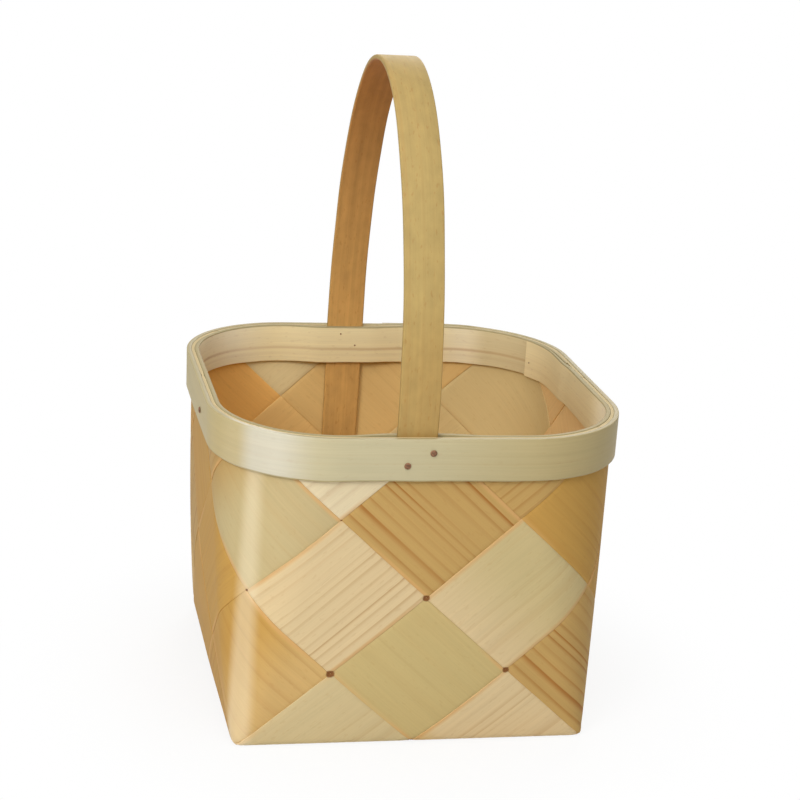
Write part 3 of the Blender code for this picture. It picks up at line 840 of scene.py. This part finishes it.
class Nodes:
    """A node tree under construction, with short ways to add and join its nodes."""

    def __init__(self, tree):
        self.tree = tree

    def put(self, socket, value):
        """Joins an output to an input, or sets the input to a value."""
        if isinstance(value, bpy.types.NodeSocket):
            self.tree.links.new(value, socket)
        elif socket.type == "RGBA":
            socket.default_value = (*value[:3], 1)
        else:
            socket.default_value = value

    def node(self, kind, values=None, **settings):
        """Adds a node, sets its options, and sets or joins its inputs."""
        made = self.tree.nodes.new(kind)
        for key, value in settings.items():
            setattr(made, key, value)
        for key, value in (values or {}).items():
            self.put(made.inputs[key], value)
        return made

    def math(self, operation, first, second=0.0, third=0.0):
        """One sum on numbers or outputs."""
        made = self.node("ShaderNodeMath", {0: first, 1: second, 2: third}, operation=operation)
        return made.outputs[0]

    def product(self, first, *others):
        """Numbers or outputs multiplied with each other."""
        for other in others:
            first = self.math("MULTIPLY", first, other)
        return first

    def ease(self, value, low, high, to_low=0.0, to_high=1.0):
        """Maps a value from one span to another with a smooth step, held at its ends."""
        spans = {"From Min": low, "From Max": high, "To Min": to_low, "To Max": to_high}
        made = self.node(
            "ShaderNodeMapRange", {"Value": value, **spans}, interpolation_type="SMOOTHSTEP"
        )
        return made.outputs["Result"]

    def mix(self, share, first, second, blend="MIX"):
        """Mixes two colours."""
        made = self.node(
            "ShaderNodeMix", {0: share, 6: first, 7: second}, data_type="RGBA", blend_type=blend
        )
        return made.outputs[2]

    def noise(self, u, v, seed, scale_u, scale_v, detail):
        """Smooth noise over (u, v) in metres, with its own scale along and across."""
        place = self.node("ShaderNodeCombineXYZ", {
            0: self.math("MULTIPLY", u, scale_u), 1: self.math("MULTIPLY", v, scale_v), 2: seed,
        })
        made = self.node("ShaderNodeTexNoise", {
            "Vector": place.outputs[0], "Scale": 1.0, "Detail": detail, "Roughness": 0.55,
        })
        return made.outputs["Fac"]

    def place(self):
        """Object coordinates, with x, y and z by themselves."""
        place = self.node("ShaderNodeTexCoord").outputs["Object"]
        return place, *self.node("ShaderNodeSeparateXYZ", {0: place}).outputs

    def white_where_seen(self, share, shader, white, output):
        """Shows white in place of a shader to the camera, in gloss and through glass."""
        rays = self.node("ShaderNodeLightPath").outputs
        seen = self.math("ADD", rays["Is Camera Ray"], rays["Is Glossy Ray"])
        seen = self.math("MINIMUM", self.math("ADD", seen, rays["Is Transmission Ray"]), 1.0)
        white = self.node(white, {"Color": (1, 1, 1), "Strength": 1.0})
        both = self.node("ShaderNodeMixShader", {
            0: self.product(share, seen), 1: shader.outputs[0], 2: white.outputs[0],
        })
        self.put(self.tree.nodes[output].inputs["Surface"], both.outputs[0])


class Finish(Nodes):
    """A new material under construction."""

    def __init__(self, name):
        self.material = bpy.data.materials.new(name)
        self.material.use_nodes = True
        super().__init__(self.material.node_tree)
        self.shader = self.tree.nodes["Principled BSDF"]

    def shade(self, values):
        """Sets or joins inputs of the shader."""
        for name, value in values.items():
            self.put(self.shader.inputs[name], value)

    def bump(self, height, strength, distance):
        """Makes the surface uneven by a height."""
        values = {"Height": height, "Strength": strength, "Distance": distance}
        self.shade({"Normal": self.node("ShaderNodeBump", values).outputs[0]})


class Wood(Finish):
    """Split wood under construction, over its own (u, v) in metres, with the grain along u."""

    def __init__(self, name, seed):
        super().__init__(name)
        self.seed = seed
        own = self.node("ShaderNodeUVMap", uv_map="grain").outputs["UV"]
        self.u, self.v = self.node("ShaderNodeSeparateXYZ", {0: own}).outputs[:2]

    def grown(self, kind, across=None):
        """One of the wood's noises, over u and over v or another value across the grain."""
        shift, along, over, detail = WOOD_NOISES[kind]
        across = self.v if across is None else across
        return self.noise(self.u, across, self.seed + shift, along, over, detail)

    def growth_lines(self, strength, spacing, waviness):
        """Places across the grain, waved by a slow noise, and the strength of the dark lines there.

        The place over the spacing, plus a noise, gives a phase. In the last part of its fraction
        the late wood rises and drops sharply. Each line has its own strength and fades in places.
        """
        slow = self.math("SUBTRACT", self.grown("slow"), 0.5)
        place = self.math("MULTIPLY_ADD", slow, 2 * (waviness * MM), self.v)
        uneven = self.grown("uneven", place)
        uneven = self.math("MULTIPLY_ADD", uneven, LINE_UNEVENNESS, self.seed + LINE_SEED)
        phase = self.math("MULTIPLY_ADD", place, 1 / (spacing * MM), uneven)
        part, whole = self.math("FRACT", phase), self.math("FLOOR", phase)
        rising, falling = self.ease(part, *LINE_RISE), self.ease(part, *LINE_FALL)
        own = self.node("ShaderNodeTexWhiteNoise", {"W": whole}, noise_dimensions="1D")
        own_strength = self.ease(own.outputs["Value"], *LINE_STRENGTH)
        fade = self.ease(self.grown("fade"), *LINE_FADE)
        return place, self.product(rising, rising, falling, own_strength, fade, strength)

    def drifted(self, shown, spans):
        """A colour that turns to others over stretches (first, last, colour) of u."""
        for first, last, other in spans:
            shown = self.mix(self.ease(self.u, first, last), shown, other)
        return shown

    def edged(self, shown, outer, reach, browning_and_painted_shade):
        """A strip's colour with pale ends at the rim, and edges, at -+reach, turned brown in parts.
        """
        height = self.place()[3]
        shown = self.mix(self.ease(height, RIM_PALE - 1 * MM, RIM_PALE), shown, PALE_END)
        off = self.math("PINGPONG", self.v, INNER_SHIFT / 2)
        parts = self.ease(self.grown("wear_and_painted_highlight"), *EDGE_BROWNING)
        inner = self.ease(off, reach - BROWN_FROM, reach - BROWN_TO)
        brown = self.product(parts, self.ease(off, reach + BROWN_BEYOND, reach), outer, inner)
        return self.mix(brown, shown, browning_and_painted_shade)

    def striped(self, shown, late, place, broad, middle, half, last):
        """A colour with one long dark line at a middle place, of a half width, up to the last u."""
        off = self.math("ABSOLUTE", self.math("SUBTRACT", place, middle))
        dark = self.product(
            self.ease(off, half, 0.0), self.ease(broad, *STRIPE_DEPTH),
            self.ease(self.u, last, last - 10 * MM),
        )
        return self.mix(dark, shown, late)


def wood(name, base, late, lines, seed, second, roughness=0.62, flecks=0.1, edge=None, stripe=None,
         drift=(), sheen=0.1, rubbed_with_painted_highlight=None, mottle=(1.0, 1.0), holes=None, patches=0.0):
    """The finish of a wooden piece.

    lines is (strength, spacing, waviness) of the growth lines, the last two in mm. Fibres are noise
    stretched along u, flecks are short dark pores, and broad noise shifts the tone. drift lists
    (first, last, colour): from first to last along u, the wood turns to another colour. second is
    (middle, low, high, colour, drift): from low to high away from the middle in v, it turns to
    another colour, with a drift of its own and fainter lines. mottle scales the streaks and
    blotches before and after that, and patches is the strength of a mottle that isn't stretched
    along u. edge is (half width, colour) of a strip whose edges turn brown in parts, and stripe is
    (place, half width, last u) of one long dark line. rubbed is (low, high, roughness, sheen,
    share, colour) of the corner at the front left, which is smoother from low to high in the lesser
    of -x and -y and takes that share of a paler colour as a painted highlight. holes is the colour
    of a painted shade round each hole.
    """
    finish = Wood(name, seed)
    place, line = finish.growth_lines(*lines)
    fibre, streak = finish.grown("fibre", place), finish.grown("streak", place)
    uneven, broad = finish.math("SUBTRACT", fibre, 0.5), finish.grown("broad")
    pores = finish.ease(finish.grown("pores"), *PORE_EDGE, 0.0, flecks)

    middle, low, high, other, spans = second
    aside = finish.math("ABSOLUTE", finish.math("SUBTRACT", finish.v, middle))
    turned = finish.ease(aside, low, high)
    base = finish.mix(turned, finish.drifted(base, drift), finish.drifted(other, spans))
    outer = finish.math("MULTIPLY_ADD", turned, LINE_LOSS, 1.0)
    line = finish.product(line, outer)

    tone = finish.math("MULTIPLY_ADD", uneven, FIBRE_TONE, 1.0)
    blotches = finish.math("MULTIPLY_ADD", broad, BROAD_TONE, BLOTCH_LEVEL)
    blotches = finish.math("MULTIPLY_ADD", streak, STREAK_TONE, blotches)
    blotched = finish.math("MULTIPLY_ADD", turned, mottle[1] - mottle[0], mottle[0])
    tone = finish.math("MULTIPLY_ADD", blotches, blotched, tone)
    if patches > 0:
        patchy = finish.math("SUBTRACT", finish.grown("patches"), 0.5)
        tone = finish.math("MULTIPLY_ADD", patchy, patches, tone)

    shown = finish.mix(finish.ease(broad, *LATE_TINGE), base, late)
    shown = finish.mix(pores, finish.mix(line, shown, late), late)
    if edge is not None:
        shown = finish.edged(shown, outer, *edge)
    if stripe is not None:
        shown = finish.striped(shown, late, place, broad, *stripe)
    shine = (finish.math("MULTIPLY_ADD", uneven, FIBRE_ROUGHNESS, roughness), sheen)
    # At the front left corner the surface is smoother, and its paler colour is a painted highlight
    if rubbed_with_painted_highlight is not None:
        low, high, smooth, glossy, share, pale = rubbed_with_painted_highlight
        corner = finish.ease(finish.math("MAXIMUM", *finish.place()[1:3]), -low, -high)
        shown = finish.mix(finish.product(corner, share), shown, pale)
        shine = [
            finish.math("MULTIPLY_ADD", corner, finish.math("SUBTRACT", there, here), here)
            for here, there in zip(shine, (smooth, glossy))
        ]
    # A dark spot of painted shade round each hole
    if holes is not None:
        marks = finish.node("ShaderNodeUVMap", uv_map="holes").outputs["UV"]
        far = finish.node("ShaderNodeSeparateXYZ", {0: marks}).outputs[0]
        shown = finish.mix(finish.ease(far, *HOLE_PAINTED_SHADE), shown, holes)
    grey = finish.node("ShaderNodeCombineColor", {0: tone, 1: tone, 2: tone}).outputs[0]
    shown = finish.mix(1.0, shown, grey, "MULTIPLY")
    finish.shade({"Base Color": shown, "Roughness": shine[0], "Specular IOR Level": shine[1]})
    finish.bump(finish.math("MULTIPLY_ADD", line, LINE_RELIEF, fibre), *WOOD_RELIEF)
    return finish.material


def nail_steel(name, base):
    """Brown oxidised steel: blotches of a darker brown, and a fine uneven surface."""
    finish = Finish(name)
    values = {"Vector": finish.place()[0], "Scale": 900.0, "Detail": 3.0}
    blotch = finish.node("ShaderNodeTexNoise", values).outputs["Fac"]
    darker = tuple(0.35 * value for value in base)
    shown = finish.mix(finish.ease(blotch, *STEEL_BLOTCH), base, darker)
    finish.shade({"Base Color": shown, "Metallic": 0.2, "Roughness": 0.55})
    finish.bump(blotch, *STEEL_RELIEF)
    return finish.material


def pale_floor(name, base):
    """Pale floor that keeps shadows near the basket and runs out into the white background."""
    finish = Finish(name)
    away = finish.node("ShaderNodeVectorMath", {0: finish.place()[0]}, operation="LENGTH")
    finish.shade({"Base Color": base, "Roughness": 0.9, "Specular IOR Level": 0.0})
    share = finish.ease(away.outputs["Value"], *FLOOR_FADE)
    finish.white_where_seen(share, finish.shader, "ShaderNodeEmission", "Material Output")
    return finish.material


def white_surroundings(name):
    """A world that lights the basket evenly and is seen as white."""
    world = bpy.data.worlds.new(name)
    world.use_nodes = True
    nodes = Nodes(world.node_tree)
    ambient = nodes.tree.nodes["Background"]
    nodes.put(ambient.inputs["Color"], AMBIENT_TINT)
    nodes.put(ambient.inputs["Strength"], AMBIENT_STRENGTH)
    nodes.white_where_seen(1.0, ambient, "ShaderNodeBackground", "World Output")
    return world


# Operators


class BASKET_OT_strips(bpy.types.Operator):
    """Adds the eight plaited strips, each with its own wood"""

    bl_idname = "basket.strips"
    bl_label = "Plaited Strips"

    def execute(self, context):
        weave = context.scene.basket.weave
        for name, (tint, strength, spacing, waviness, seed, drift) in STRIP_LOOKS.items():
            way = 1 if "right" in name else -1
            index = int(name[-1]) - 1
            middle, out, full, own, holes = strip_surface(way, index, weave, seed)
            half = out * (full * weave.thickness / 2)[..., None]
            points = np.stack([middle + half, middle - half]).reshape(-1, 3)
            faces = sheet_faces(*middle.shape[:2])
            own = own.reshape(-1, 2)
            grain = np.concatenate([own, own + (0, INNER_SHIFT)])[faces.ravel()]
            holes = np.tile(holes.ravel(), 2)[faces.ravel()]
            layers = {"grain": grain, "holes": np.stack([holes, 0 * holes], axis=-1)}
            inside = stretches(weave, STRIP_INSIDES[name])
            material = wood(
                name.replace("strip", "chip"), getattr(weave, tint), weave.late_wood,
                (strength, spacing, waviness), seed,
                # The inner faces take the inside colours, painted bounce light and shade of the
                # basket's inside
                (0.0, 0.45 * INNER_SHIFT, 0.55 * INNER_SHIFT, weave.inside, inside),
                edge=(weave.pitch / 2, weave.browning_and_painted_shade), drift=stretches(weave, drift),
                # A painted highlight at the front left corner, and painted shade round the holes
                mottle=(1.0, 0.35), holes=weave.hole, rubbed_with_painted_highlight=(*CHIP_RUBBED_WITH_PAINTED_HIGHLIGHT, weave.wear_and_painted_highlight),
            )
            add_piece(name, points, faces.tolist(), layers, material)
        return {"FINISHED"}


class BASKET_OT_hoops(bpy.types.Operator):
    """Adds the outer and the inner rim hoop"""

    bl_idname = "basket.hoops"
    bl_label = "Rim Hoops"

    def execute(self, context):
        settings = context.scene.basket
        hoops, weave = settings.hoops, settings.weave

        def face(thickness, height):
            """The stretch of v on a hoop's far face, and the wood round it."""
            # Round the far face, the edge colour is painted shade on the hoops' top edges
            return thickness + height / 2, height / 2 - hoops.edge, height / 2, hoops.edges, ()

        # The outer hoop's stretches paint a highlight at the front left and shade on the right
        outside = wood(
            "outer_hoop_wood", hoops.outer, weave.late_wood, *OUTER_HOOP_GRAIN,
            face(hoops.outer_thickness, hoops.outer_height), 0.5, 0.06, sheen=0.2,
            rubbed_with_painted_highlight=(*HOOP_RUBBED, hoops.palest), drift=stretches(hoops, OUTER_HOOP_STRETCHES),
        )
        # The inner hoop's lighter colours are painted light against the shade inside the basket
        inside = wood(
            "inner_hoop_wood", hoops.inner, weave.late_wood, *INNER_HOOP_GRAIN,
            face(hoops.inner_thickness, hoops.inner_height), 0.55,
            stripe=HOOP_STRIPE, drift=stretches(hoops, INNER_HOOP_STRETCHES),
        )
        for name, start, direction, thickness, height, material in (
            ("outer_hoop", OUTER_START, 1, hoops.outer_thickness, hoops.outer_height, outside),
            ("inner_hoop", INNER_START, -1, hoops.inner_thickness, hoops.inner_height, inside),
        ):
            hoop(name, start, direction, thickness, height, material, settings)
        return {"FINISHED"}


class BASKET_OT_handle(bpy.types.Operator):
    """Adds the bent strap handle"""

    bl_idname = "basket.handle"
    bl_label = "Handle"

    def execute(self, context):
        settings = context.scene.basket
        strap = settings.handle
        half = strap.width / 2 + strap.thickness / 2
        # Painted shade: the inner face darkens towards the crown
        inside = stretches(strap, HANDLE_INSIDE_STRETCHES)
        material = wood(
            "handle_strap_wood", strap.outside, settings.weave.late_wood, *HANDLE_GRAIN,
            (
                strap.thickness + strap.width / 2, half - 0.5 * strap.edge, half + strap.edge,
                strap.inside, inside,
            ),
            flecks=0.3, sheen=0.2, mottle=(2.2, 4.0), patches=0.34,
            drift=stretches(strap, HANDLE_OUTSIDE_STRETCHES),
        )
        strap_handle("handle", material, settings)
        return {"FINISHED"}


class BASKET_OT_nails(bpy.types.Operator):
    """Adds the nails of the handle and of the hoops"""

    bl_idname = "basket.nails"
    bl_label = "Nails"

    def execute(self, context):
        settings = context.scene.basket
        material = nail_steel("nail_steel", settings.nails.steel)
        for name, turn, height in nail_places(settings):
            nail(name, turn, height, material, settings)
        return {"FINISHED"}


def soft_light(name, azimuth, elevation, distance, width, height, power):
    """A lamp that looks at the basket from a direction."""
    lamp = bpy.data.lights.new(name, "AREA")
    lamp.shape = "RECTANGLE"
    lamp.size, lamp.size_y = width, height
    lamp.energy = power
    lamp.color = LAMP_TINT
    a, e = math.radians(azimuth), math.radians(elevation)
    back = Vector((math.sin(a) * math.cos(e), -math.cos(a) * math.cos(e), math.sin(e)))
    holder = bpy.data.objects.new(name, lamp)
    holder.location = Vector((0, 0, LAMP_AIM)) + back * distance
    holder.rotation_euler = (-back).to_track_quat("-Z", "Y").to_euler()
    holder.visible_camera = False
    bpy.context.scene.collection.objects.link(holder)


def aimed_camera(name, stage):
    """A camera at a distance from its target, by azimuth and elevation, turned by its roll."""
    lens = bpy.data.cameras.new(name)
    lens.lens = stage.lens
    lens.clip_start = 0.05
    camera = bpy.data.objects.new(name, lens)
    az, el, roll = stage.azimuth, stage.elevation, stage.roll
    back = Vector((-math.sin(az) * math.cos(el), -math.cos(az) * math.cos(el), math.sin(el)))
    right = Vector((math.cos(az), -math.sin(az), 0))
    up = back.cross(right)
    side = right * math.cos(roll) + up * math.sin(roll)
    top = up * math.cos(roll) - right * math.sin(roll)
    turned = Matrix((side, top, back)).transposed().to_4x4()
    place = Vector((stage.target_x, 0, stage.target_z)) + back * stage.distance
    camera.matrix_world = Matrix.Translation(place) @ turned
    bpy.context.scene.collection.objects.link(camera)
    return camera


class BASKET_OT_stage(bpy.types.Operator):
    """Adds the floor, the soft lights, the white surroundings and the camera"""

    bl_idname = "basket.stage"
    bl_label = "Stage"

    def execute(self, context):
        scene, stage = context.scene, context.scene.basket.stage
        mesh = bpy.data.meshes.new("floor")
        half = stage.floor_size / 2
        corners = [(-half, -half, 0), (half, -half, 0), (half, half, 0), (-half, half, 0)]
        mesh.from_pydata(corners, [], [(0, 1, 2, 3)])
        mesh.materials.append(pale_floor("pale_floor", stage.floor))
        floor = bpy.data.objects.new("floor", mesh)
        scene.collection.objects.link(floor)
        scene.world = white_surroundings("surroundings")
        for name, lamp in LAMPS.items():
            soft_light(name, *lamp)
        scene.camera = aimed_camera("camera", stage)
        scene.view_settings.view_transform = "Standard"
        return {"FINISHED"}


class BASKET_PT_panel(bpy.types.Panel):
    """Buttons for the pieces of the basket"""

    bl_label = "Berry Basket"
    bl_idname = "BASKET_PT_panel"
    bl_space_type = "VIEW_3D"
    bl_region_type = "UI"
    bl_category = "Basket"

    def draw(self, context):
        settings = context.scene.basket
        for operator in OPERATORS:
            self.layout.operator(operator.bl_idname)
        for part in BasketSettings.__annotations__:
            box, group = self.layout.box(), getattr(settings, part)
            for name in group.__annotations__:
                box.prop(group, name)


OPERATORS = (BASKET_OT_strips, BASKET_OT_hoops, BASKET_OT_handle, BASKET_OT_nails, BASKET_OT_stage)
CLASSES = (
    WeaveSettings, HoopSettings, HandleSettings, NailSettings, StageSettings, BasketSettings,
    *OPERATORS, BASKET_PT_panel,
)


def register():
    """Makes the settings, the operators and the panel known."""
    for cls in CLASSES:
        bpy.utils.register_class(cls)
    bpy.types.Scene.basket = bpy.props.PointerProperty(type=BasketSettings)


def unregister():
    """Takes them out again."""
    del bpy.types.Scene.basket
    for cls in reversed(CLASSES):
        bpy.utils.unregister_class(cls)


def main():
    """Builds the basket and its stage."""
    register()
    bpy.ops.basket.strips()
    bpy.ops.basket.hoops()
    bpy.ops.basket.handle()
    bpy.ops.basket.nails()
    bpy.ops.basket.stage()


if __name__ == "__main__":
    main()
